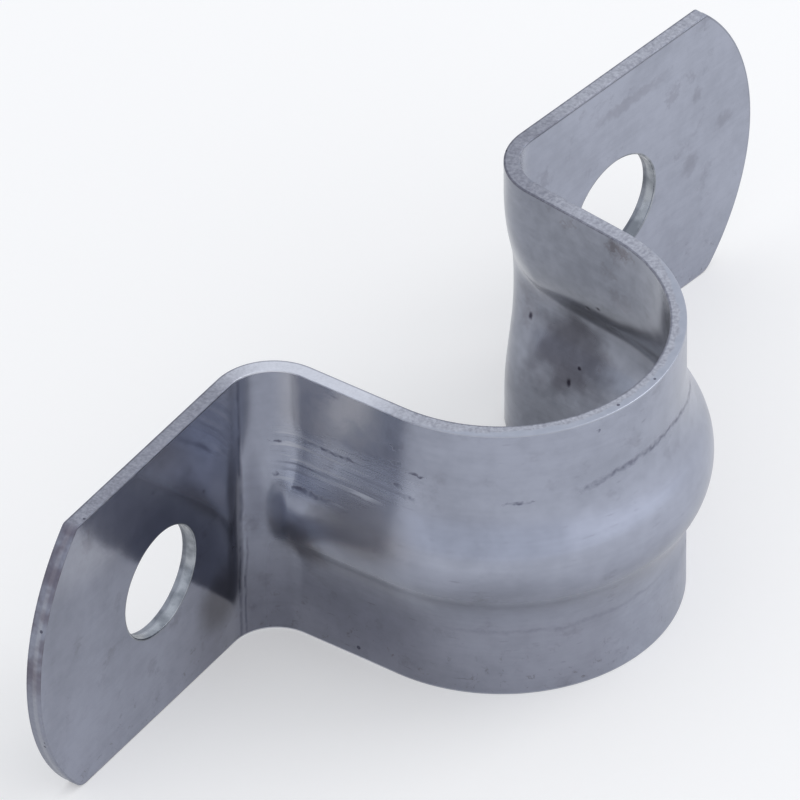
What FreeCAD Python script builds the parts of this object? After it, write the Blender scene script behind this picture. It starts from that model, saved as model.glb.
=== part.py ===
"""Two-hole conduit strap, pressed and folded from one strip of stainless sheet.

Frame, in millimetres: the conduit's axis is the Z axis, and the strip stands on its lower edge at Z = 0.
The bow bulges towards -Y, the tabs reach out along X, and their backs face the wall, which is at +Y.

The half on the +X side is built and then mirrored. Along it the sheet has a heading, in degrees: 0 is
along the wall, as at the middle of the bow, and 90 is straight towards the wall.
"""
import FreeCAD, Part
import math
import os
import Sketcher

DIMENSIONS = {
    "band_width": 20.0,  # width of the strip, along the conduit
    "thickness": 1.0,  # of the sheet
    "bow_radius": 10.1,  # inner radius, which seats a 20 mm conduit
    "leg_heading": 86.5,  # the heading that the bow ends at, and that the leg keeps
    "leg_length": 6.8,  # straight run between the bow and the bend
    "bend_radius": 3.0,  # on the front of the bend, its hollow side
    "tab_tilt": 3.75,  # spring-back, which holds each tab's end off the wall
    "tab_length": 16.1,  # of the tab's straight edges, from the bend to the corner
    "tab_bulge": 4.1,  # how far the end arc stands out past the corners
    "lower_corner_radius": 1.3,  # rounding between a tab's lower edge and its end arc
    "upper_corner_radius": 0.4,  # the same at its upper edge, which is crisper
    "hole_diameter": 7.3,
    "hole_distance": 7.6,  # from the bend to the middle of the hole
    "bead_height": 1.65,  # of the stiffening bead, above the band beside it
    "crown_radius": 4.6,  # across the top of the bead, on the outside
    "root_radius": 8.0,  # where the bead flares out into the band, on the outside
    "bead_spread": 3.0,  # how much wider each side of the bead is by the end of the bend
}
# The bead sinks and widens as the sheet turns through the bend. Each of these shares of the turn has a
# section of its own.
RUN_OUT = (0.0, 0.25, 0.5, 0.75)
SINKING = 1.5  # the power of the turn's cosine that the bead's height goes with
TOUCHING = 1e-6

# Expressions that several sketches share. The whole bend turns about one upright centre line.
SEAT_TO_BEND = "(Dims.bow_radius + Dims.thickness + Dims.bend_radius)"
BEND_X = f"({SEAT_TO_BEND} * sin(Dims.leg_heading) + Dims.leg_length * cos(Dims.leg_heading))"
BEND_Y = f"(Dims.leg_length * sin(Dims.leg_heading) - {SEAT_TO_BEND} * cos(Dims.leg_heading))"
BACK_RADIUS = "(Dims.bend_radius + Dims.thickness)"
END_RADIUS = "((Dims.band_width^2 / 4 + Dims.tab_bulge^2) / (2 * Dims.tab_bulge))"
BOTH_RADII = "(Dims.crown_radius + Dims.root_radius)"
REACH = f"sqrt({BOTH_RADII}^2 - ({BOTH_RADII} - Dims.bead_height)^2)"


def make_sheet(doc):
    """The driving dimensions, one alias a row."""
    sheet = doc.addObject("Spreadsheet::Sheet", "Dims")
    for row, (alias, value) in enumerate(DIMENSIONS.items(), start=1):
        sheet.set(f"A{row}", alias)
        sheet.set(f"B{row}", str(value))
        sheet.setAlias(f"B{row}", alias)
    doc.recompute()


def origin_feature(body, role):
    return next(item for item in body.Origin.OriginFeatures if item.Role == role)


def new_sketch(body, name, plane):
    sketch = body.newObject("Sketcher::SketchObject", name)
    sketch.AttachmentSupport = [(origin_feature(body, plane), "")]
    sketch.MapMode = "FlatFace"
    return sketch


def upright_sketch(body, name, x, y, turn):
    """A sketch that stands along Z, its own x axis turned away from +X. x, y and turn are expressions."""
    sketch = new_sketch(body, name, "XZ_Plane")
    place = f"placement(vector({x}; 0; -({y})); rotation(vector(0; 1; 0); {turn}))"
    sketch.setExpression("AttachmentOffset", place)
    return sketch


def line(start, end):
    return Part.LineSegment(FreeCAD.Vector(*start, 0), FreeCAD.Vector(*end, 0))


def arc(centre, start, end):
    """The shorter arc about a centre from one point to another."""
    centre, start, end = (FreeCAD.Vector(*point, 0) for point in (centre, start, end))
    outwards = ((start + end) * 0.5 - centre).normalize()
    return Part.Arc(start, centre + outwards * (start - centre).Length, end)


def towards(point, target, distance):
    """The point that lies a distance along the way from one point to another."""
    share = distance / math.dist(point, target)
    return tuple(a + (b - a) * share for a, b in zip(point, target))


def tie(sketch, kind, *where):
    sketch.addConstraint(Sketcher.Constraint(kind, *where))


def drive(sketch, expression, kind, *where):
    """A dimension of the sketch, tied to the sheet."""
    index = sketch.addConstraint(Sketcher.Constraint(kind, *where))
    sketch.setExpression(f"Constraints[{index}]", expression)


def join(sketch, one, other, kind="Coincident"):
    """Ties two edges together at the ends where they touch."""
    for first, second in ((1, 1), (1, 2), (2, 1), (2, 2)):
        gap = sketch.getPoint(one, first) - sketch.getPoint(other, second)
        if gap.Length < TOUCHING:
            tie(sketch, kind, one, first, other, second)
            return
    raise ValueError(f"{sketch.Name}: edges {one} and {other} don't touch")


def draw_loop(sketch, edges, sharp):
    """Closes the edges into one loop. Those listed as sharp meet their neighbours in corners."""
    sketch.addGeometry(edges, False)
    for one in range(len(edges)):
        other = (one + 1) % len(edges)
        corner = one in sharp or other in sharp
        join(sketch, one, other, "Coincident" if corner else "Tangent")


def drive_outline(sketch, foot, head):
    """Places the section's two narrow ends: bow_radius from the sketch's origin, and the sheet's own size."""
    size = DIMENSIONS
    for edge in (foot, head):
        tie(sketch, "Horizontal", edge)
    tie(sketch, "PointOnObject", foot, 1, -1)
    drive(sketch, "Dims.bow_radius", "DistanceX", -1, 1, foot, 1, size["bow_radius"])
    drive(sketch, "Dims.thickness", "DistanceX", foot, 1, foot, 2, size["thickness"])
    drive(sketch, "Dims.band_width", "DistanceY", foot, 1, head, 2, size["band_width"])


def bead_size(share):
    """The bead's height, half its width and its two radii, where this share of the turn is made."""
    size = DIMENSIONS
    both = size["crown_radius"] + size["root_radius"]
    reach = math.sqrt(both**2 - (both - size["bead_height"]) ** 2) + size["bead_spread"] * share
    rise = size["bead_height"] * math.cos(math.radians(90 * share)) ** SINKING
    spread_radii = (reach**2 + rise**2) / (2 * rise)
    crown = spread_radii * size["crown_radius"] / both
    return rise, reach, crown, spread_radii - crown


def bead_expressions(share):
    """The bead's height and its two radii at this share of the turn, from the sheet."""
    rise = f"(Dims.bead_height * cos({90 * share})^{SINKING})"
    reach = f"({REACH} + Dims.bead_spread * {share})"
    spread_radii = f"(({reach}^2 + {rise}^2) / (2 * {rise}))"
    crown = f"({spread_radii} * Dims.crown_radius / {BOTH_RADII})"
    root = f"({spread_radii} * Dims.root_radius / {BOTH_RADII})"
    return rise, crown, root


def draw_beaded_section(sketch, share=0.0):
    """The strip's cross-section with its bead. The sketch's x axis runs from the back to the front."""
    size = DIMENSIONS
    back = size["bow_radius"]
    front = back + size["thickness"]
    top = size["band_width"]
    middle = top / 2
    rise, reach, crown, root = bead_size(share)
    hub = (front + rise - crown, middle)
    low_hub = (front + root, middle - reach)
    high_hub = (front + root, middle + reach)
    low_flank = towards(hub, low_hub, crown)
    high_flank = towards(hub, high_hub, crown)
    low_inside = towards(hub, low_hub, crown - size["thickness"])
    high_inside = towards(hub, high_hub, crown - size["thickness"])
    foot, low_band, low_root, bead, high_root, high_band = range(6)
    head, high_seat, high_hollow, hollow, low_hollow, low_seat = range(6, 12)
    edges = [
        line((back, 0), (front, 0)),
        line((front, 0), (front, middle - reach)),
        arc(low_hub, (front, middle - reach), low_flank),
        arc(hub, low_flank, high_flank),
        arc(high_hub, high_flank, (front, middle + reach)),
        line((front, middle + reach), (front, top)),
        line((front, top), (back, top)),
        line((back, top), (back, middle + reach)),
        arc(high_hub, (back, middle + reach), high_inside),
        arc(hub, high_inside, low_inside),
        arc(low_hub, low_inside, (back, middle - reach)),
        line((back, middle - reach), (back, 0)),
    ]
    draw_loop(sketch, edges, sharp=(foot, head))
    drive_outline(sketch, foot, head)
    tie(sketch, "Vertical", foot, 1, head, 2)
    tie(sketch, "Vertical", foot, 2, head, 1)
    for edge in (low_band, high_band, low_seat, high_seat):
        tie(sketch, "Vertical", edge)
    tie(sketch, "Coincident", low_root, 3, low_hollow, 3)
    tie(sketch, "Coincident", high_root, 3, high_hollow, 3)
    rise_now, crown_now, root_now = bead_expressions(share)
    for edge in (low_root, high_root):
        drive(sketch, root_now, "Radius", edge, root)
    drive(sketch, crown_now, "Radius", bead, crown)
    drive(sketch, f"{crown_now} - Dims.thickness", "Radius", hollow, crown - size["thickness"])
    drive(sketch, "Dims.band_width / 2", "DistanceY", -1, 1, bead, 3, middle)
    hub_place = f"Dims.bow_radius + Dims.thickness + {rise_now} - {crown_now}"
    drive(sketch, hub_place, "DistanceX", -1, 1, bead, 3, hub[0])


def draw_plain_section(sketch):
    """The strip's cross-section beyond the bead, split where the bead's flanks and roots run out."""
    size = DIMENSIONS
    back = size["bow_radius"]
    front = back + size["thickness"]
    top = size["band_width"]
    middle = top / 2
    both = size["crown_radius"] + size["root_radius"]
    reach = math.sqrt(both**2 - (both - size["bead_height"]) ** 2) + size["bead_spread"]
    flank = reach * size["crown_radius"] / both
    heights = [0, middle - reach, middle - flank, middle + flank, middle + reach, top]
    stretches = list(zip(heights, heights[1:]))
    front_side = [line((front, low), (front, high)) for low, high in stretches]
    back_side = [line((back, high), (back, low)) for low, high in reversed(stretches)]
    foot = 0
    head = len(stretches) + 1
    last = 2 * len(stretches) + 1
    edges = [line((back, 0), (front, 0)), *front_side, line((front, top), (back, top)), *back_side]
    draw_loop(sketch, edges, sharp=range(last + 1))
    drive_outline(sketch, foot, head)
    for edge in (*range(1, head), *range(head + 1, last + 1)):
        tie(sketch, "Vertical", edge)
    reach_now = f"({REACH} + Dims.bead_spread)"
    flank_now = f"({reach_now} * Dims.crown_radius / {BOTH_RADII})"
    places = [
        f"Dims.band_width / 2 - {reach_now}",
        f"Dims.band_width / 2 - {flank_now}",
        f"Dims.band_width / 2 + {flank_now}",
        f"Dims.band_width / 2 + {reach_now}",
    ]
    for edge, (place, height) in enumerate(zip(places, heights[1:-1]), start=1):
        drive(sketch, place, "DistanceY", foot, 1, edge, 2, height)
        drive(sketch, place, "DistanceY", foot, 1, last + 1 - edge, 1, height)


def bend_section(body, share):
    """A sketch across the strip where the bend has made this share of its turn."""
    heading = f"(Dims.leg_heading - {share} * (Dims.leg_heading + Dims.tab_tilt))"
    x = f"{BEND_X} - {SEAT_TO_BEND} * sin({heading})"
    y = f"{BEND_Y} + {SEAT_TO_BEND} * cos({heading})"
    return upright_sketch(body, f"BendSection{round(100 * share)}", x, y, f"{heading} - 90")


def draw_bend_line(sketch):
    """The bend as the sheet's back runs round it, seen along Z."""
    size = DIMENSIONS
    radius = size["bend_radius"] + size["thickness"]
    reach = size["bow_radius"] + radius
    heading = math.radians(size["leg_heading"])
    tilt = math.radians(size["tab_tilt"])
    x = reach * math.sin(heading) + size["leg_length"] * math.cos(heading)
    y = size["leg_length"] * math.sin(heading) - reach * math.cos(heading)
    leg_end = (x - radius * math.sin(heading), y + radius * math.cos(heading))
    tab_end = (x + radius * math.sin(tilt), y + radius * math.cos(tilt))
    sketch.addGeometry([arc((x, y), leg_end, tab_end)], False)
    bend = 0
    tab_side, leg_side, hub = 1, 2, 3
    drive(sketch, BACK_RADIUS, "Radius", bend, radius)
    drive(sketch, BEND_X, "DistanceX", -1, 1, bend, hub, x)
    drive(sketch, BEND_Y, "DistanceY", -1, 1, bend, hub, y)
    leg_run = f"{BACK_RADIUS} * sin(Dims.leg_heading)"
    tab_run = f"{BACK_RADIUS} * sin(Dims.tab_tilt)"
    drive(sketch, leg_run, "DistanceX", bend, leg_side, bend, hub, x - leg_end[0])
    drive(sketch, tab_run, "DistanceX", bend, hub, bend, tab_side, tab_end[0] - x)


def tab_sketch(body, name):
    """A sketch on the tab's back. Its x axis runs along the tab from the bend, and it faces the front."""
    x = f"{BEND_X} + {BACK_RADIUS} * sin(Dims.tab_tilt)"
    y = f"{BEND_Y} + {BACK_RADIUS} * cos(Dims.tab_tilt)"
    return upright_sketch(body, name, x, y, "-Dims.tab_tilt")


def draw_tab(sketch):
    """The tab's outline: two straight edges, an end arc and its rounded corners."""
    size = DIMENSIONS
    top = size["band_width"]
    middle = top / 2
    low = size["lower_corner_radius"]
    high = size["upper_corner_radius"]
    end_radius = (middle**2 + size["tab_bulge"] ** 2) / (2 * size["tab_bulge"])
    hub = (size["tab_length"] + size["tab_bulge"] - end_radius, middle)
    low_straight = hub[0] + math.sqrt((end_radius - low) ** 2 - (middle - low) ** 2)
    high_straight = hub[0] + math.sqrt((end_radius - high) ** 2 - (middle - high) ** 2)
    low_hub = (low_straight, low)
    high_hub = (high_straight, top - high)
    low_end = towards(hub, low_hub, end_radius)
    high_end = towards(hub, high_hub, end_radius)
    fold, low_side, low_corner, end, high_corner, high_side = range(6)
    edges = [
        line((0, top), (0, 0)),
        line((0, 0), (low_straight, 0)),
        arc(low_hub, (low_straight, 0), low_end),
        arc(hub, low_end, high_end),
        arc(high_hub, high_end, (high_straight, top)),
        line((high_straight, top), (0, top)),
    ]
    draw_loop(sketch, edges, sharp=(fold,))
    tie(sketch, "Coincident", fold, 2, -1, 1)
    tie(sketch, "Vertical", fold)
    tie(sketch, "Horizontal", low_side)
    tie(sketch, "Horizontal", high_side)
    drive(sketch, "Dims.band_width", "DistanceY", fold, 2, fold, 1, top)
    drive(sketch, "Dims.lower_corner_radius", "Radius", low_corner, low)
    drive(sketch, "Dims.upper_corner_radius", "Radius", high_corner, high)
    drive(sketch, END_RADIUS, "Radius", end, end_radius)
    end_place = f"Dims.tab_length + Dims.tab_bulge - {END_RADIUS}"
    drive(sketch, end_place, "DistanceX", -1, 1, end, 3, hub[0])
    drive(sketch, "Dims.band_width / 2", "DistanceY", -1, 1, end, 3, middle)


def draw_hole(sketch):
    size = DIMENSIONS
    centre = FreeCAD.Vector(size["hole_distance"], size["band_width"] / 2, 0)
    outline = Part.Circle(centre, FreeCAD.Vector(0, 0, 1), size["hole_diameter"] / 2)
    circle = sketch.addGeometry(outline, False)
    drive(sketch, "Dims.hole_diameter", "Diameter", circle, size["hole_diameter"])
    drive(sketch, "Dims.hole_distance", "DistanceX", -1, 1, circle, 3, centre.x)
    drive(sketch, "Dims.band_width / 2", "DistanceY", -1, 1, circle, 3, centre.y)


def build_bow(body):
    """Half of the bow: the beaded section turned about the conduit's axis."""
    section = upright_sketch(body, "BowSection", "0", "0", "-90")
    draw_beaded_section(section)
    bow = body.newObject("PartDesign::Revolution", "Bow")
    bow.Profile = section
    bow.ReferenceAxis = (section, ["V_Axis"])
    bow.setExpression("Angle", "Dims.leg_heading")


def build_leg(body):
    """The straight run from the bow to the bend, where the bead keeps its full height."""
    section = upright_sketch(body, "LegSection", "0", "0", "Dims.leg_heading - 90")
    draw_beaded_section(section)
    leg = body.newObject("PartDesign::Pad", "Leg")
    leg.Profile = section
    leg.Reversed = True
    leg.setExpression("Length", "Dims.leg_length")


def build_bend(body):
    """The bend, along which the bead sinks and widens until the sheet is plain."""
    sections = []
    for share in RUN_OUT:
        section = bend_section(body, share)
        draw_beaded_section(section, share)
        sections.append(section)
    plain = bend_section(body, 1)
    draw_plain_section(plain)
    line_sketch = new_sketch(body, "BendLine", "XY_Plane")
    draw_bend_line(line_sketch)
    body.Document.recompute()
    bend = body.newObject("PartDesign::AdditivePipe", "Bend")
    bend.Profile = sections[0]
    bend.Spine = (line_sketch, ["Edge1"])
    bend.Transformation = "Multisection"
    bend.Sections = [(section, [""]) for section in (*sections[1:], plain)]


def build_tab(body):
    """The flat tab with its screw hole."""
    outline = tab_sketch(body, "TabOutline")
    draw_tab(outline)
    tab = body.newObject("PartDesign::Pad", "Tab")
    tab.Profile = outline
    tab.setExpression("Length", "Dims.thickness")
    circle = tab_sketch(body, "ScrewHoleCircle")
    draw_hole(circle)
    hole = body.newObject("PartDesign::Pocket", "ScrewHole")
    hole.Profile = circle
    hole.Type = "ThroughAll"
    hole.Midplane = True


def mirror_half(body):
    body.Document.recompute()
    whole = body.newObject("PartDesign::Mirrored", "OtherHalf")
    whole.TransformMode = "Whole shape"
    whole.MirrorPlane = (origin_feature(body, "YZ_Plane"), [""])
    body.Tip = whole


def check(doc, body):
    """Stops on any failed feature, and on a solid that isn't what the sheet's sizes make."""
    for item in doc.Objects:
        if {"Invalid", "Error"} & set(item.State):
            raise RuntimeError(f"{item.Name} failed: {item.State}")
    for item in doc.findObjects("Sketcher::SketchObject"):
        if not item.FullyConstrained:
            raise RuntimeError(f"{item.Name} isn't fully constrained")
    if body.Shape.isNull() or not body.Shape.isValid() or len(body.Shape.Solids) != 1:
        raise RuntimeError("the strap isn't one valid solid")
    punched = doc.Tab.Shape.Volume - doc.ScrewHole.Shape.Volume
    slug = math.pi * DIMENSIONS["hole_diameter"] ** 2 / 4 * DIMENSIONS["thickness"]
    if abs(punched - slug) > 0.01 * slug:
        raise RuntimeError("the screw hole doesn't go through the tab")
    if abs(body.Shape.Volume - 2 * doc.ScrewHole.Shape.Volume) > 1e-3 * body.Shape.Volume:
        raise RuntimeError("the strap isn't two mirrored halves")


doc = FreeCAD.newDocument("ConduitStrap")
make_sheet(doc)
strap = doc.addObject("PartDesign::Body", "Strap")
strap.Label = "strap"
build_bow(strap)
build_leg(strap)
build_bend(strap)
build_tab(strap)
mirror_half(strap)
doc.recompute()
check(doc, strap)

os.makedirs("parts", exist_ok=True)
strap.Shape.exportStep(f"parts/{strap.Label}.step")
print(f"{strap.Label}: {strap.Shape.Volume:.1f} mm3, {len(strap.Shape.Faces)} faces")
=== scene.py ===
import math

import bmesh
import bpy
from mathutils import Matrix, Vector


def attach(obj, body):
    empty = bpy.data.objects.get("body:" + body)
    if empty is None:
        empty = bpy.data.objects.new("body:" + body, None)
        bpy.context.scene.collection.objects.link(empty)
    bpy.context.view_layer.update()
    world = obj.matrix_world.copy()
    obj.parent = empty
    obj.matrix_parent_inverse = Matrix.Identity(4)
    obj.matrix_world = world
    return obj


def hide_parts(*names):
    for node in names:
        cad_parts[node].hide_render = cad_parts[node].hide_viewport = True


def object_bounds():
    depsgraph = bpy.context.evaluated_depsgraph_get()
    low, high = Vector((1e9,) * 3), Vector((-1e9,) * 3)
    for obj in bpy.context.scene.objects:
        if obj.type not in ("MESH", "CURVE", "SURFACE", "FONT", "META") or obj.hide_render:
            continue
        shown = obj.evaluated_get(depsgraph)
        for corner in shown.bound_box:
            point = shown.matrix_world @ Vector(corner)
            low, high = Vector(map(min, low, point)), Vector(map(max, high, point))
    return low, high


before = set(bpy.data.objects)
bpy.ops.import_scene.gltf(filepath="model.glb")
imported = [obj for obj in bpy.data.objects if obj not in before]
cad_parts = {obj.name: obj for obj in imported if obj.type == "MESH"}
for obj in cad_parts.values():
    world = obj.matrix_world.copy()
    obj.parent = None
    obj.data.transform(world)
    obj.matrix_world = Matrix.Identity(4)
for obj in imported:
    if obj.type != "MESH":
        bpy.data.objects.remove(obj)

CAD_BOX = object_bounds()
MM = 0.001

# The strap: lengths in millimetres, angles in radians. It stands on its lower edge, with its
# conduit's axis along Z.
BAND_WIDTH = 20.0
THICKNESS = 1.0
BOW_RADIUS = 10.1
LEG_HEADING = math.radians(86.5)
LEG_LENGTH = 6.8
BEND_RADIUS = 3.0
TAB_TILT = math.radians(3.75)
TAB_LENGTH = 16.1
TAB_BULGE = 4.1
LOWER_CORNER = 1.3
UPPER_CORNER = 0.4
HOLE_RADIUS = 3.65
HOLE_DISTANCE = 7.6
BEAD_HEIGHT = 1.65
CROWN_RADIUS = 4.6
ROOT_RADIUS = 8.0
BEAD_SPREAD = 3.0  # how much wider each side of the bead is where it has sunk away
BEAD_SINKING = 1.5  # the power of the cosine that it sinks by, through a bend
BEAD_LEAST = 0.0001  # a lower bead than this counts as flat
ROLLOVER = 0.07  # rounding that the punch leaves on the front's edges
BURR = 0.05  # rounding left on the back's edges
TORN_INSET = 0.03  # how far the torn half of a punched edge falls back
SMOOTH_DEPTHS = (0.3, 0.45)  # the mesh's rows in a punched edge's smooth half
TORN_DEPTHS = (0.52, 0.75)  # and in its torn half
CREASE_AT = -27.6  # the folding tool's line across the strip, at the left tab
LAP = 0.05  # flat strip between a face's last row and the rounding of its edge
TAB_ROOT = 1.2  # flat strip between a bend's end and the mesh round the screw hole

# What follows from these.
MIDDLE = BAND_WIDTH / 2
END_RADIUS = (MIDDLE ** 2 + TAB_BULGE ** 2) / (2 * TAB_BULGE)
CROWN_SHARE = CROWN_RADIUS / (CROWN_RADIUS + ROOT_RADIUS)
BEAD_REACH = math.sqrt(
    (CROWN_RADIUS + ROOT_RADIUS) ** 2 - (CROWN_RADIUS + ROOT_RADIUS - BEAD_HEIGHT) ** 2
)

# Places along the strip, from the bow's middle, at half the sheet's thickness.
BOW_END = (BOW_RADIUS + THICKNESS / 2) * LEG_HEADING
LEG_END = BOW_END + LEG_LENGTH
BEND_END = LEG_END + (BEND_RADIUS + THICKNESS / 2) * (LEG_HEADING + TAB_TILT)
GRID_END = BEND_END + TAB_ROOT  # from here on the mesh runs round the screw hole
HOLE_AT = BEND_END + HOLE_DISTANCE
END_CENTRE = BEND_END + TAB_LENGTH + TAB_BULGE - END_RADIUS

# The mesh: rows across the strip, rings round a screw hole, and steps in millimetres.
ROWS = 80
RINGS = 16
BOW_STEP = 0.19
LEG_STEP = 0.3
BEND_STEP = 0.12
ROOT_STEP = 0.2
OUTLINE_STEP = 0.35
CORNER_STEP = 0.1
ARC_LEAST = 4  # an arc has at least this many steps

# Which of the strap's materials a face has.
FRONT = 0
BACK = 1
CUT_EDGE = 2
HOLE_WALL = 3

# The camera: angles in degrees, its lens in millimetres, lengths in metres.
AZIMUTH = -51.911
ELEVATION = 39.319
ROLL = -0.422
DISTANCE = 1.23423
LENS = 926.58
AIM = Vector((-2.291, 5.907, 12.248)) * MM
CLIP_END = 10

# The studio: the floor's side in metres, and how bright the floor and the sky are.
FLOOR_SIZE = 4.0
FLOOR_GLOW = 0.30
SKY_SEEN = 1.0
SKY_ON_MATT = 0.8


# ---------------------------------------------------------------- shape

def facing(heading):
    """The front's normal where the strip runs along heading."""
    return Vector((math.sin(heading), -math.cos(heading), 0))


def running(heading):
    """The strip's direction where it runs along heading."""
    return Vector((math.cos(heading), math.sin(heading), 0))


BEND_CENTRE = (
    facing(LEG_HEADING) * (BOW_RADIUS + THICKNESS + BEND_RADIUS)
    + running(LEG_HEADING) * LEG_LENGTH
)


def front_line(s):
    """The plain front face's point and normal, s along the strip."""
    side = math.copysign(1, s)
    s = abs(s)
    if s <= LEG_END:
        heading = min(s / (BOW_RADIUS + THICKNESS / 2), LEG_HEADING)
        normal = facing(heading)
        point = normal * (BOW_RADIUS + THICKNESS)
        point += running(heading) * max(s - BOW_END, 0)
    else:
        turned = min((s - LEG_END) / (BEND_RADIUS + THICKNESS / 2), LEG_HEADING + TAB_TILT)
        heading = LEG_HEADING - turned
        normal = facing(heading)
        point = BEND_CENTRE - normal * BEND_RADIUS
        point += running(heading) * max(s - BEND_END, 0)
    return Vector((side * point.x, point.y, 0)), Vector((side * normal.x, normal.y, 0))


def bead_size(s):
    """The bead's height and half its width: steady on the bow and legs, then lower and wider."""
    share = (abs(s) - LEG_END) / (BEND_END - LEG_END)
    share = min(max(share, 0), 1)
    rise = BEAD_HEIGHT * math.cos(share * math.pi / 2) ** BEAD_SINKING
    return rise, BEAD_REACH + BEAD_SPREAD * share


def bead_profile(rise, reach, z, depth):
    """Height over the plain front, at z across the band and depth into the sheet."""
    across = abs(z - MIDDLE)
    if across >= reach or rise < BEAD_LEAST:
        return -depth
    centres = (reach ** 2 + rise ** 2) / (2 * rise)
    crown = centres * CROWN_SHARE - depth
    root = centres * (1 - CROWN_SHARE) + depth
    if across <= reach * crown / centres:
        return rise - crown - depth + math.sqrt(crown ** 2 - across ** 2)
    return root - depth - math.sqrt(root ** 2 - (reach - across) ** 2)


def surface(s, z, depth):
    """The folded strap's point, in metres, at a place on the flat strip."""
    point, normal = front_line(s)
    point = point + normal * bead_profile(*bead_size(s), z, depth)
    point.z = z
    return point * MM


def spaced(start, end, step):
    """Even places from start, about a step apart, without the end."""
    count = max(1, round(abs(end - start) / step))
    return [start + (end - start) * i / count for i in range(count)]


def grid_columns():
    """The mesh's columns along the strip, as far as both screw holes' rings."""
    half = (
        spaced(0, BOW_END, BOW_STEP)
        + spaced(BOW_END, LEG_END, LEG_STEP)
        + spaced(LEG_END, BEND_END, BEND_STEP)
        + spaced(BEND_END, GRID_END, ROOT_STEP)
        + [GRID_END]
    )
    return [-s for s in reversed(half[1:])] + half


def arc_points(centre, radius, start, end, step):
    """(s, z, outward s, outward z) along an arc, with its end."""
    count = max(ARC_LEAST, round(abs(end - start) * radius / step))
    angles = [start + (end - start) * i / count for i in range(count + 1)]
    return [
        (
            centre[0] + radius * math.cos(a),
            centre[1] + radius * math.sin(a),
            math.cos(a),
            math.sin(a),
        )
        for a in angles
    ]


def tab_corner(radius):
    """A tab's edge from the grid's end round the corner, and the angle where its end arc begins."""
    inner = END_RADIUS - radius
    lift = MIDDLE - radius
    corner = END_CENTRE + math.sqrt(inner ** 2 - lift ** 2)
    turn = math.atan2(lift, corner - END_CENTRE)
    edge = [(s, 0.0, 0.0, -1.0) for s in spaced(GRID_END, corner, OUTLINE_STEP)[1:]]
    arc = arc_points((corner, radius), radius, -math.pi / 2, -turn, CORNER_STEP)
    return edge + arc, turn


def tab_outline():
    """The right tab's free edge, from the grid's end on the lower edge to the upper."""
    lower, start = tab_corner(LOWER_CORNER)
    upper, end = tab_corner(UPPER_CORNER)
    face = arc_points((END_CENTRE, MIDDLE), END_RADIUS, -start, end, OUTLINE_STEP)
    return lower + face[1:-1] + [(s, BAND_WIDTH - z, a, -b) for s, z, a, b in reversed(upper)]


class Skin:
    """The strap's mesh, point by point, each with its place on the flat strip."""

    def __init__(self):
        self.points = []
        self.blank = []
        self.faces = []
        self.kinds = []

    def point(self, s, z, depth):
        self.points.append(surface(s, z, depth))
        self.blank.append((s, z, depth))
        return len(self.points) - 1

    def strip(self, first, second, kind, closed=True):
        """Quads between two rows of points."""
        count = len(first)
        for i in range(count if closed else count - 1):
            j = (i + 1) % count
            self.faces.append((first[i], first[j], second[j], second[i]))
            self.kinds.append(kind)


def add_face(skin, depth, inset, kind):
    """One side of the sheet. Returns its outer loop and its loops round the two holes."""
    columns = grid_columns()
    heights = [inset + (BAND_WIDTH - 2 * inset) * j / ROWS for j in range(ROWS + 1)]
    grid = [[skin.point(s, z, depth) for z in heights] for s in columns]
    for first, second in zip(grid, grid[1:]):
        skin.strip(first, second, kind, closed=False)
    ends, holes = [], []
    for side in (1, -1):
        root = grid[-1] if side > 0 else grid[0]
        free = [
            skin.point(side * (s - a * inset), z - b * inset, depth)
            for s, z, a, b in tab_outline()
        ]
        outer = [root[0]] + free + root[:0:-1]
        holes.append(add_rings(skin, outer, side * HOLE_AT, inset, depth, kind))
        ends.append(free)
    lower = [column[0] for column in grid]
    upper = [column[-1] for column in reversed(grid)]
    return lower + ends[0] + upper + ends[1][::-1], holes


def add_rings(skin, outer, hole_s, inset, depth, kind):
    """Rings from a tab's outline in to its screw hole. Returns the last."""
    loop = outer
    starts = [skin.blank[i] for i in outer]
    for k in range(1, RINGS + 1):
        share = k / RINGS
        ring = []
        for s, z, _ in starts:
            away = Vector((s - hole_s, z - MIDDLE))
            ends = away.normalized() * (HOLE_RADIUS + inset)
            place = away.lerp(ends, share)
            ring.append(skin.point(hole_s + place.x, MIDDLE + place.y, depth))
        skin.strip(loop, ring, kind)
        loop = ring
    return loop


def edge_profile():
    """(inset, depth) across a punched edge, from the front's rounding to the back's."""
    steps = [(ROLLOVER, 0.0)]
    for a in map(math.radians, (22.5, 45, 67.5, 90)):
        steps.append((ROLLOVER * (1 - math.sin(a)), ROLLOVER * (1 - math.cos(a))))
    steps += [(0.0, depth) for depth in SMOOTH_DEPTHS]
    steps += [(TORN_INSET, depth) for depth in TORN_DEPTHS]
    for a in map(math.radians, (90, 45, 0)):
        steps.append(
            (TORN_INSET + BURR * (1 - math.sin(a)), THICKNESS - BURR * (1 - math.cos(a)))
        )
    return steps


def add_rim(skin, front, back, outline, kind):
    """The sheared edge between a front loop and a back loop along one outline."""
    loop = front
    for inset, depth in edge_profile():
        made = [skin.point(s - a * inset, z - b * inset, depth) for s, z, a, b in outline]
        skin.strip(loop, made, kind)
        loop = made
    skin.strip(loop, back, kind)


def blank_outline():
    """The flat strip's outline, point for point with a face's outer loop."""
    columns = grid_columns()
    right = tab_outline()
    left = [(-s, z, -a, b) for s, z, a, b in reversed(right)]
    lower = [(s, 0.0, 0.0, -1.0) for s in columns]
    upper = [(s, BAND_WIDTH, 0.0, 1.0) for s in reversed(columns)]
    return lower + right + upper + left


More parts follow.
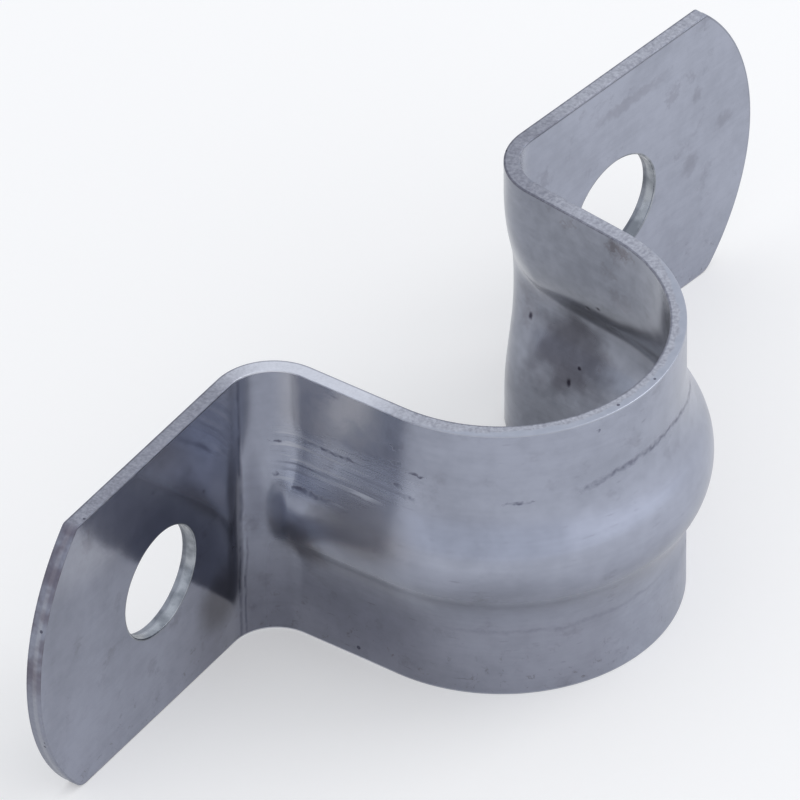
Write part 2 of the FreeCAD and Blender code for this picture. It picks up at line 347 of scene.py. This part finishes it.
def hole_outline(skin, loop, hole_s):
    """A screw hole's outline, at the angles of a face's loop round it."""
    outline = []
    for i in loop:
        away = Vector((skin.blank[i][0] - hole_s, skin.blank[i][1] - MIDDLE)).normalized()
        outline.append(
            (hole_s + away.x * HOLE_RADIUS, MIDDLE + away.y * HOLE_RADIUS, -away.x, -away.y)
        )
    return outline


def strap_mesh():
    skin = Skin()
    front, front_holes = add_face(skin, 0.0, ROLLOVER + LAP, FRONT)
    back, back_holes = add_face(skin, THICKNESS, BURR + TORN_INSET + LAP, BACK)
    add_rim(skin, front, back, blank_outline(), CUT_EDGE)
    for side, first, second in zip((1, -1), front_holes, back_holes):
        outline = hole_outline(skin, first, side * HOLE_AT)
        add_rim(skin, first, second, outline, HOLE_WALL)
    mesh = bpy.data.meshes.new("strap_skin")
    mesh.from_pydata(skin.points, [], skin.faces)
    blank = mesh.attributes.new("blank", "FLOAT_VECTOR", "POINT")
    blank.data.foreach_set("vector", [x for place in skin.blank for x in place])
    mesh.polygons.foreach_set("material_index", skin.kinds)
    build = bmesh.new()
    build.from_mesh(mesh)
    bmesh.ops.recalc_face_normals(build, faces=build.faces)
    build.to_mesh(mesh)
    build.free()
    mesh.shade_smooth()
    return mesh


# ---------------------------------------------------------------- materials

class Graph:
    """A material's nodes, each made in one call."""

    def __init__(self, name):
        self.material = bpy.data.materials.new(name)
        self.material.use_nodes = True
        self.tree = self.material.node_tree
        self.tree.nodes.clear()

    def node(self, kind, inputs=(), **settings):
        made = self.tree.nodes.new(kind)
        for key, value in settings.items():
            setattr(made, key, value)
        for key, value in dict(inputs).items():
            if isinstance(value, bpy.types.NodeSocket):
                self.tree.links.new(value, made.inputs[key])
            else:
                made.inputs[key].default_value = value
        return made

    def place(self, name):
        """What the mesh says under that name at each point."""
        return self.node("ShaderNodeAttribute", attribute_name=name).outputs["Vector"]

    def split(self, vector):
        return self.node("ShaderNodeSeparateXYZ", {0: vector}).outputs

    def math(self, operation, a, b=0.0, clamp=False):
        return self.node("ShaderNodeMath", {0: a, 1: b}, operation=operation, use_clamp=clamp).outputs[0]

    def vector(self, operation, a, b):
        return self.node("ShaderNodeVectorMath", {0: a, 1: b}, operation=operation).outputs[0]

    def total(self, *parts):
        """The sum of (value, weight) pairs."""
        added = None
        for value, weight in parts:
            part = self.math("MULTIPLY", value, weight)
            added = part if added is None else self.math("ADD", added, part)
        return added

    def most(self, *masks):
        """The highest of several masks."""
        found = masks[0]
        for mask in masks[1:]:
            found = self.math("MAXIMUM", found, mask)
        return found

    def noise(self, at, scale, detail=3.0, roughness=0.5):
        return self.node(
            "ShaderNodeTexNoise",
            {"Vector": at, "Scale": scale, "Detail": detail, "Roughness": roughness},
        ).outputs["Fac"]

    def ramp(self, value, low, high, to_low=0.0, to_high=1.0):
        return self.node(
            "ShaderNodeMapRange",
            {"Value": value, "From Min": low, "From Max": high, "To Min": to_low, "To Max": to_high},
            interpolation_type="SMOOTHSTEP",
        ).outputs["Result"]

    def within(self, value, low, high, soft):
        """1 between low and high, falling to 0 over soft on each side."""
        rise = self.ramp(value, low - soft, low + soft)
        fall = self.ramp(value, high - soft, high + soft)
        return self.math("SUBTRACT", rise, fall, clamp=True)

    def line(self, value, at, half):
        """1 where value is at, falling to 0 at half to each side."""
        away = self.math("ABSOLUTE", self.math("SUBTRACT", value, at))
        return self.ramp(away, 0.0, half, 1.0, 0.0)

    def spot(self, at, s, z, length, width):
        """1 in an ellipse on the strip, falling to 0 at its outline."""
        away = self.vector("SUBTRACT", at, (s, z, 0.0))
        away = self.vector("MULTIPLY", away, (2 / length, 2 / width, 0.0))
        out = self.node("ShaderNodeVectorMath", {0: away}, operation="LENGTH").outputs["Value"]
        return self.ramp(out, 0.3, 1.0, 1.0, 0.0)

    def specks(self, at, scale, size):
        """Scattered specks of uneven size, in about four cells of every ten."""
        cell = self.node("ShaderNodeTexVoronoi", {"Vector": at, "Scale": scale}).outputs
        chance = self.node("ShaderNodeSeparateColor", {0: cell["Color"]}).outputs[0]
        reach = self.ramp(chance, 0.6, 1.0, 0.0, size)
        return self.math("GREATER_THAN", reach, cell["Distance"])

    def blend(self, share, a, b, kind="MIX"):
        return self.node(
            "ShaderNodeMix", {"Factor": share, 6: a, 7: b}, data_type="RGBA", blend_type=kind
        ).outputs[2]

    def bump(self, height):
        """The normal over a height in micrometres."""
        return self.node(
            "ShaderNodeBump", {"Height": height, "Distance": 0.000001, "Strength": 1.0}
        ).outputs["Normal"]

    def metal(self, colour, roughness, height):
        shader = self.node(
            "ShaderNodeBsdfPrincipled",
            {
                "Base Color": colour,
                "Metallic": 1.0,
                "Roughness": roughness,
                "Normal": self.bump(height),
            },
        )
        return self.finish(shader.outputs[0])

    def finish(self, shader):
        out = self.tree.nodes.new("ShaderNodeOutputMaterial")
        self.tree.links.new(shader, out.inputs["Surface"])
        return self.material


def rgb(red, green, blue):
    return (red, green, blue, 1.0)


def rolled(g, at):
    """The mill's finish: tone, and height in micrometres."""
    cloud = g.noise(at, 0.14, 4.0, 0.6)
    mottle = g.noise(at, 0.9, 3.0, 0.6)
    drawn = g.noise(g.vector("MULTIPLY", at, (0.10, 4.0, 1.0)), 1.0, 2.0)
    wave = g.noise(at, 0.28, 1.0)
    tone = g.ramp(g.total((cloud, 0.60), (mottle, 0.30), (drawn, 0.10)), 0.34, 0.64)
    return tone, g.total((wave, 26.0), (mottle, 2.6), (drawn, 0.6))


def dragged(g, at, s, z):
    """Scratches along a leg where the die dragged: dark ones, and light ones."""
    rise = g.math("MULTIPLY", g.math("MAXIMUM", g.math("ADD", s, 19.7), 0.0), -0.42)
    where = g.math("MULTIPLY", g.ramp(g.math("ADD", z, rise), 11.8, 12.6), g.ramp(z, 16.3, 15.2))
    where = g.math("MULTIPLY", g.within(s, -24.3, -15.4, 1.2), where)
    lines = g.noise(g.vector("MULTIPLY", at, (0.15, 3.8, 1.0)), 1.0, 4.0, 0.6)
    dark = g.math("MULTIPLY", where, g.ramp(lines, 0.55, 0.70))
    light = g.math("MULTIPLY", where, g.ramp(lines, 0.45, 0.32))
    return dark, light


def nicks(g, at):
    """Gouges in and about the dragged patch, and a few on the bow."""
    torn = g.vector("ADD", at, g.vector("MULTIPLY", ragged(g, at), (1.4, 0.45, 0.0)))
    found = g.most(
        g.spot(torn, -15.2, 14.3, 1.3, 0.55),
        g.spot(torn, -15.9, 14.8, 1.0, 0.35),
        g.spot(torn, -14.7, 16.0, 1.6, 0.24),
        g.spot(torn, -16.1, 16.4, 0.6, 0.45),
        g.spot(torn, -16.3, 17.5, 0.4, 0.50),
        g.spot(torn, -24.6, 14.8, 1.5, 0.26),
        g.spot(torn, -24.8, 12.7, 1.2, 0.34),
        g.spot(torn, -8.8, 14.9, 2.2, 0.28),
        g.spot(torn, -3.9, 19.0, 0.6, 0.45),
        g.spot(torn, -20.6, 15.1, 5.2, 0.26),
        g.spot(torn, -21.8, 12.2, 5.0, 0.34),
    )
    return g.math("MULTIPLY", found, g.ramp(g.noise(at, 1.6, 3.0), 0.30, 0.62))


def ragged(g, at):
    """A vector of noise about zero, to make an outline uneven."""
    colour = g.node("ShaderNodeTexNoise", {"Vector": at, "Scale": 2.5}).outputs["Color"]
    return g.vector("SUBTRACT", colour, (0.5, 0.5, 0.5))


def die_lines(g, at, s, z):
    """Lines that the die's edges drew along the bead's two roots, over the bow."""
    wear_and_shade = g.noise(at, 1.1, 5.0, 0.75)
    sway = g.math("MULTIPLY", g.math("SUBTRACT", g.noise(at, 0.7, 5.0, 0.6), 0.5), 1.3)
    fall = g.math("MULTIPLY", g.math("MULTIPLY", s, s), 0.02)
    high = g.line(g.total((z, 1.0), (fall, 1.0), (sway, 1.0)), 15.5, 0.30)
    high = g.math("MULTIPLY", high, g.within(s, -4.9, 8.2, 0.6))
    low = g.line(g.math("ADD", z, sway), 4.9, 0.30)
    low = g.math("MULTIPLY", low, g.math("MULTIPLY", g.within(s, -13.0, 1.0, 2.0), 0.28))
    broken = g.ramp(wear_and_shade, 0.30, 0.66, 0.15, 1.0)
    return g.math("MULTIPLY", g.math("MAXIMUM", high, low), broken)


def folded(g, at, s, z):
    """The crease that the folding tool left at one tab's root, and a darker band beside it."""
    sway = g.math("MULTIPLY", g.math("SUBTRACT", g.noise(at, 0.4), 0.5), 0.5)
    along = g.math("ADD", s, sway)
    faint = g.ramp(g.noise(at, 0.8, 4.0), 0.35, 0.60, 0.45, 1.0)
    second = g.math("MULTIPLY", g.line(along, CREASE_AT + 0.45, 0.16), g.ramp(z, 9.0, 6.0))
    crease = g.math("MULTIPLY", g.math("MAXIMUM", g.line(along, CREASE_AT, 0.24), second), faint)
    dark_band = g.math("MULTIPLY", g.within(along, CREASE_AT - 1.3, CREASE_AT, 0.3), g.within(z, 5.0, 15.0, 2.5))
    return crease, dark_band


def front_steel():
    """The front: stained rolled steel, with the press's marks, a patch of pale film, and painted light and
    shade over the bow, the left leg, bend and tab.
    """
    g = Graph("steel_front")
    at = g.place("blank")
    s, z, _ = g.split(at)
    away = g.math("ABSOLUTE", s)
    tone, height = rolled(g, at)
    # Painted highlight along the bead's crown over the bow, and painted light growing towards the right.
    crown = g.within(z, 7.5, 13.5, 3.0)
    bow = g.ramp(away, 12.0, 15.0, 1.0, 0.0)
    right = g.ramp(s, -16.0, 4.0)
    tone = g.total((tone, 0.62), (g.math("MULTIPLY", crown, bow), 0.2), (right, 0.22))
    colour = g.blend(tone, rgb(0.288, 0.306, 0.368), rgb(0.388, 0.410, 0.492))
    # Stains all over, and smears on the tabs.
    uneven = g.vector("ADD", at, ragged(g, at))
    patches = g.ramp(g.noise(uneven, 0.40, 5.0, 0.62), 0.56, 0.72)
    smears = g.most(
        g.spot(uneven, 42.8, 9.3, 1.9, 2.3),
        g.spot(uneven, 46.0, 11.0, 2.2, 1.6),
        g.spot(uneven, 43.5, 14.4, 1.2, 1.6),
        g.spot(uneven, 37.2, 17.6, 9.0, 1.3),
        g.spot(uneven, -36.5, 17.4, 0.6, 0.5),
    )
    colour = g.blend(g.most(patches, smears), colour, rgb(0.84, 0.83, 0.83), "MULTIPLY")
    # Painted shade low on the legs, on the bead's lower side over the bow and low on the bow's left; scuffs
    # near the lower edge; and the left tab a little darker.
    # Painted shade: darker towards the lower edge of the legs and bends.
    painted_shade_low = g.math("MULTIPLY", g.within(away, 14.0, 33.0, 4.0), g.ramp(z, 9.5, 2.0))
    colour = g.blend(painted_shade_low, colour, rgb(0.68, 0.67, 0.68), "MULTIPLY")
    scuffs = g.math("MULTIPLY", g.ramp(g.noise(uneven, 1.3, 5.0, 0.7), 0.58, 0.70), g.ramp(z, 4.5, 1.0))
    colour = g.blend(scuffs, colour, rgb(0.66, 0.62, 0.60), "MULTIPLY")
    # Painted shade on the bead's lower side over the bow.
    under = g.math("MULTIPLY", g.within(z, 6.2, 9.4, 1.6), bow)
    colour = g.blend(under, colour, rgb(0.72, 0.72, 0.73), "MULTIPLY")
    # Painted shade low on the bow's left.
    low = g.math("MULTIPLY", g.within(s, -16.0, -2.5, 2.0), g.ramp(z, 7.0, 4.5))
    colour = g.blend(low, colour, rgb(0.84, 0.83, 0.83), "MULTIPLY")
    colour = g.blend(g.ramp(s, -28.5, -31.0), colour, rgb(0.90, 0.90, 0.92), "MULTIPLY")
    # Single patches, most of them on the left leg, bend and tab: painted shade, two spots of painted light,
    # and one darker patch on the left tab's end.
    # Painted shade in the hollow where the bead ends on the left leg.
    painted_shade_hollow = g.spot(at, -17.8, 11.4, 9.0, 6.4)
    colour = g.blend(painted_shade_hollow, colour, rgb(0.70, 0.66, 0.61), "MULTIPLY")
    # Painted shade in the corner low at the left tab's root.
    painted_shade_heel = g.spot(at, -29.8, 4.4, 6.0, 6.0)
    colour = g.blend(painted_shade_heel, colour, rgb(0.54, 0.52, 0.50), "MULTIPLY")
    # Painted light on the left tab's upper part and on a spot of the left bend.
    bright = g.most(g.spot(at, -40.5, 18.0, 20.0, 8.0), g.spot(uneven, -24.7, 9.7, 2.8, 3.6))
    colour = g.blend(bright, colour, rgb(1.38, 1.35, 1.28), "MULTIPLY")
    # Painted shade, a dark reflection, low on the left leg.
    colour = g.blend(g.spot(uneven, -22.1, 7.9, 4.4, 5.0), colour, rgb(0.57, 0.54, 0.53), "MULTIPLY")
    shaded = g.most(g.spot(uneven, -18.5, 4.2, 12.0, 10.0), g.spot(at, -26.8, 10.7, 2.6, 9.0))
    colour = g.blend(shaded, colour, rgb(0.77, 0.77, 0.79), "MULTIPLY")
    # Painted shade on the bow's left side, and a darker patch on the left tab's end.
    wear_and_shade = g.most(
        g.spot(uneven, -12.0, 13.0, 6.0, 5.0),
        g.spot(uneven, -9.8, 9.5, 6.0, 3.0),
        g.spot(uneven, -46.5, 12.0, 7.0, 15.0),
    )
    colour = g.blend(wear_and_shade, colour, rgb(0.88, 0.88, 0.88), "MULTIPLY")
    # Painted shade low on the bow's right.
    colour = g.blend(g.spot(uneven, 3.6, 4.6, 8.0, 4.5), colour, rgb(0.86, 0.87, 0.89), "MULTIPLY")
    # Painted shade across the left bend.
    colour = g.blend(g.within(s, -27.2, -23.6, 0.5), colour, rgb(0.86, 0.86, 0.87), "MULTIPLY")
    # The film, by the left leg's upper edge, and short ticks over the bow and legs.
    film = g.math("MULTIPLY", g.within(s, -24.0, -17.6, 1.2), g.ramp(z, 14.6, 17.0))
    film = g.math("MULTIPLY", film, g.ramp(g.noise(uneven, 0.35, 4.0, 0.6), 0.24, 0.60))
    colour = g.blend(film, colour, rgb(0.455, 0.458, 0.498))
    ticks = g.noise(g.vector("MULTIPLY", at, (0.7, 4.2, 1.0)), 1.0, 2.0)
    ticks = g.math("MULTIPLY", g.ramp(ticks, 0.67, 0.78), g.ramp(away, 27.0, 25.0))
    colour = g.blend(ticks, colour, rgb(0.78, 0.76, 0.77), "MULTIPLY")
    # Scratches, gouges, the die's lines, specks, and the crease with the darker band beside it.
    dark, light = dragged(g, at, s, z)
    cuts = g.most(nicks(g, at), die_lines(g, at, s, z), g.math("MULTIPLY", dark, 0.60))
    cuts = g.most(cuts, g.specks(at, 0.32, 0.045))
    crease, dark_band = folded(g, at, s, z)
    colour = g.blend(g.math("MULTIPLY", light, 0.9), colour, rgb(0.48, 0.49, 0.54))
    colour = g.blend(cuts, colour, rgb(0.42, 0.41, 0.46), "MULTIPLY")
    colour = g.blend(dark_band, colour, rgb(0.54, 0.53, 0.54), "MULTIPLY")
    colour = g.blend(crease, colour, rgb(0.58, 0.58, 0.62), "MULTIPLY")
    # Rougher as far as the bends' ends, where it is scratched, and low on the bow and legs.
    bent = g.ramp(away, BEND_END - 0.6, BEND_END + 0.6, 1.0, 0.0)
    scuffed = g.math("MULTIPLY", g.most(dark, light, cuts), 0.15)
    root = g.math("MULTIPLY", g.ramp(z, 8.5, 6.0), g.ramp(away, 22.0, 26.0, 0.09, 0.0))
    rough = g.total((bent, 0.15), (scuffed, 1.0), (root, 1.0))
    rough = g.math("ADD", rough, 0.12)
    height = g.total((height, 1.0), (cuts, -10.0), (light, 2.0), (crease, -10.0))
    return g.metal(colour, rough, height)


def back_steel():
    """The back: darker, with brown stains, a large dark patch, dull patches and pits."""
    g = Graph("steel_back")
    at = g.place("blank")
    _, z, _ = g.split(at)
    tone, height = rolled(g, at)
    colour = g.blend(tone, rgb(0.205, 0.218, 0.258), rgb(0.292, 0.308, 0.360))
    uneven = g.vector("ADD", at, g.vector("MULTIPLY", ragged(g, at), (1.5, 1.5, 0.0)))
    gentle = g.vector("MULTIPLY", ragged(g, g.vector("MULTIPLY", at, (0.2, 0.2, 0.2))), (4.0, 4.0, 0.0))
    dark_patch = g.spot(g.vector("ADD", at, gentle), 20.4, 8.1, 8.6, 7.2)
    stain = g.ramp(g.noise(uneven, 0.35, 5.0, 0.65), 0.54, 0.70)
    near_rim = g.ramp(z, 14.5, 19.5, 0.35, 1.0)
    brown = g.math("MULTIPLY", stain, near_rim)
    colour = g.blend(brown, colour, rgb(0.70, 0.64, 0.62), "MULTIPLY")
    colour = g.blend(dark_patch, colour, rgb(0.44, 0.42, 0.43), "MULTIPLY")
    dull = g.most(g.spot(uneven, 21.8, 3.6, 10.0, 6.0), g.spot(uneven, 16.6, 13.2, 8.0, 2.4))
    colour = g.blend(dull, colour, rgb(0.82, 0.82, 0.82), "MULTIPLY")
    torn = g.vector("ADD", at, g.vector("MULTIPLY", ragged(g, at), (0.2, 0.2, 0.0)))
    pits = g.most(
        g.spot(torn, 24.2, 8.9, 0.60, 0.75),
        g.spot(torn, 19.3, 7.6, 0.40, 0.30),
        g.spot(torn, 19.8, 6.5, 0.50, 0.70),
        g.spot(torn, 18.5, 12.8, 0.45, 0.55),
        g.spot(torn, 17.5, 13.4, 0.40, 0.35),
        g.spot(torn, 12.2, 13.9, 0.40, 0.80),
        g.specks(at, 0.35, 0.05),
    )
    colour = g.blend(pits, colour, rgb(0.22, 0.20, 0.24), "MULTIPLY")
    rough = g.math("ADD", g.math("MULTIPLY", g.most(brown, dark_patch), 0.10), 0.20)
    return g.metal(colour, rough, g.total((height, 1.0), (pits, -12.0)))


def sheared_steel():
    """The sheet's cut edge: burnished at the front, torn and pitted behind."""
    g = Graph("steel_edge")
    at = g.place("blank")
    s, z, depth = g.split(at)
    coarse = g.noise(at, 1.4, 3.0)
    streaks = g.noise(g.vector("MULTIPLY", at, (3.2, 3.2, 1.4)), 1.0, 3.0, 0.6)
    grain = g.total((streaks, 0.45), (g.noise(at, 5.0, 3.0, 0.6), 0.55))
    away = g.math("ABSOLUTE", s)
    open_grain = g.ramp(away, 9.0, 14.0)
    torn = g.ramp(g.total((depth, 1.0), (coarse, 0.7), (open_grain, 0.45)), 0.72, 0.92)
    smooth = g.blend(coarse, rgb(0.32, 0.34, 0.40), rgb(0.44, 0.46, 0.52))
    rough = g.blend(g.ramp(grain, 0.34, 0.66), rgb(0.30, 0.305, 0.35), rgb(0.47, 0.48, 0.53))
    colour = g.blend(torn, smooth, rough)
    bent = g.within(s, -27.0, -17.0, 2.0)
    colour = g.blend(g.math("MULTIPLY", bent, 0.64), colour, rgb(0.74, 0.75, 0.80))
    dull = g.most(g.ramp(s, -27.5, -30.0), g.within(s, 21.0, 31.0, 2.5))
    colour = g.blend(dull, colour, rgb(0.70, 0.70, 0.72), "MULTIPLY")
    lip = g.ramp(depth, 0.84, 0.92)
    colour = g.blend(lip, colour, rgb(0.55, 0.55, 0.58), "MULTIPLY")
    corner = g.math("MULTIPLY", g.ramp(depth, 0.10, 0.04), g.ramp(away, 27.0, 29.0))
    corner = g.math("MULTIPLY", corner, g.ramp(z, 19.0, 19.8))
    colour = g.blend(corner, colour, rgb(0.55, 0.55, 0.57), "MULTIPLY")
    end = g.ramp(away, 43.8, 44.8)
    strip = g.blend(g.within(depth, 0.25, 0.55, 0.08), rgb(0.25, 0.265, 0.325), rgb(0.33, 0.345, 0.40))
    colour = g.blend(g.math("MULTIPLY", end, 0.75), colour, strip)
    upper = g.math("MULTIPLY", g.ramp(s, -43.8, -44.8), g.ramp(z, 8.0, 12.0))
    rusty = g.math("MULTIPLY", upper, g.ramp(g.noise(at, 0.6, 3.0, 0.5), 0.34, 0.60))
    colour = g.blend(rusty, colour, rgb(0.56, 0.50, 0.52), "MULTIPLY")
    pits = g.specks(at, 0.9, 0.10)
    colour = g.blend(pits, colour, rgb(0.35, 0.34, 0.38), "MULTIPLY")
    height = g.total((g.math("MULTIPLY", torn, grain), 34.0), (coarse, 20.0), (pits, -12.0))
    return g.metal(colour, g.ramp(torn, 0.0, 1.0, 0.30, 0.42), height)


def burnished_steel():
    """The walls of the punched holes."""
    g = Graph("steel_hole")
    at = g.place("blank")
    _, _, depth = g.split(at)
    scored = g.noise(g.vector("MULTIPLY", at, (0.8, 0.8, 0.6)), 1.0, 3.0)
    torn = g.ramp(g.total((depth, 1.0), (scored, 0.5)), 0.85, 1.0)
    colour = g.blend(g.ramp(scored, 0.35, 0.65), rgb(0.19, 0.205, 0.23), rgb(0.38, 0.40, 0.43))
    colour = g.blend(torn, colour, rgb(0.72, 0.72, 0.75), "MULTIPLY")
    return g.metal(colour, g.ramp(torn, 0.0, 1.0, 0.24, 0.36), g.total((scored, 18.0)))


# ---------------------------------------------------------------- studio

def seen_directly(g):
    """1 for rays from the camera, from a mirror or through glass."""
    path = g.node("ShaderNodeLightPath").outputs
    first = g.math("MAXIMUM", path["Is Camera Ray"], path["Is Glossy Ray"])
    return g.math("MAXIMUM", first, path["Is Transmission Ray"])


def make_floor():
    """A pale floor that glows a little to whatever sees it directly."""
    mesh = bpy.data.meshes.new("floor")
    half = FLOOR_SIZE / 2
    corners = [(-half, -half, 0), (half, -half, 0), (half, half, 0), (-half, half, 0)]
    mesh.from_pydata(corners, [], [(0, 1, 2, 3)])
    floor = bpy.data.objects.new("floor", mesh)
    bpy.context.collection.objects.link(floor)
    floor.location.z = CAD_BOX[0].z
    g = Graph("studio_floor")
    shine = g.node(
        "ShaderNodeEmission",
        {"Color": rgb(1.0, 0.985, 0.96), "Strength": g.math("MULTIPLY", seen_directly(g), FLOOR_GLOW)},
    )
    cover = g.node("ShaderNodeBsdfDiffuse", {"Color": rgb(0.74, 0.735, 0.73)})
    both = g.node("ShaderNodeAddShader", {0: cover.outputs[0], 1: shine.outputs[0]})
    mesh.materials.append(g.finish(both.outputs[0]))


def make_world():
    """An even pale sky, a little dimmer to matt surfaces."""
    world = bpy.data.worlds.new("studio")
    world.use_nodes = True
    bpy.context.scene.world = world
    tree = world.node_tree
    tree.nodes.clear()
    path = tree.nodes.new("ShaderNodeLightPath")
    sky = tree.nodes.new("ShaderNodeBackground")
    sky.inputs["Color"].default_value = rgb(0.93, 0.965, 1.03)
    seen = tree.nodes.new("ShaderNodeMapRange")
    tree.links.new(path.outputs["Is Diffuse Ray"], seen.inputs["Value"])
    seen.inputs["To Min"].default_value = SKY_SEEN
    seen.inputs["To Max"].default_value = SKY_ON_MATT
    tree.links.new(seen.outputs["Result"], sky.inputs["Strength"])
    out = tree.nodes.new("ShaderNodeOutputWorld")
    tree.links.new(sky.outputs[0], out.inputs["Surface"])


def softbox(name, azimuth, elevation, distance, size, radiance):
    """A square lamp that faces the strap, as bright as a surface of that radiance."""
    lamp = bpy.data.lights.new(name, "AREA")
    lamp.size = size
    lamp.energy = radiance * math.pi * size ** 2
    made = bpy.data.objects.new(name, lamp)
    bpy.context.collection.objects.link(made)
    a, e = math.radians(azimuth), math.radians(elevation)
    back = Vector((math.sin(a) * math.cos(e), -math.cos(a) * math.cos(e), math.sin(e)))
    made.location = back * distance
    made.rotation_mode = "QUATERNION"
    made.rotation_quaternion = (-back).to_track_quat("-Z", "Y")


def make_lights():
    softbox("key", azimuth=60, elevation=48, distance=0.6, size=0.3, radiance=2.0)
    softbox("fill", azimuth=14, elevation=16, distance=0.7, size=0.8, radiance=0.3)


def make_camera():
    data = bpy.data.cameras.new("camera")
    camera = bpy.data.objects.new("camera", data)
    bpy.context.collection.objects.link(camera)
    data.lens = LENS
    data.clip_end = CLIP_END
    a, e = math.radians(AZIMUTH), math.radians(ELEVATION)
    back = Vector((math.sin(a) * math.cos(e), -math.cos(a) * math.cos(e), math.sin(e)))
    turn = (-back).to_track_quat("-Z", "Y").to_matrix()
    roll = math.radians(ROLL)
    right = turn.col[0] * math.cos(roll) + turn.col[1] * math.sin(roll)
    up = turn.col[1] * math.cos(roll) - turn.col[0] * math.sin(roll)
    turn.col[0], turn.col[1] = right, up
    camera.rotation_mode = "QUATERNION"
    camera.rotation_quaternion = turn.to_quaternion()
    camera.location = AIM + back * DISTANCE
    bpy.context.scene.camera = camera


def make_strap():
    mesh = strap_mesh()
    # In the order of the faces' kinds.
    for make in (front_steel, back_steel, sheared_steel, burnished_steel):
        mesh.materials.append(make())
    strap = bpy.data.objects.new("strap_sheet", mesh)
    bpy.context.collection.objects.link(strap)
    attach(strap, "root")
    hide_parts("strap")


make_camera()
make_world()
make_floor()
make_lights()
make_strap()
bpy.context.scene.view_settings.view_transform = "Standard"
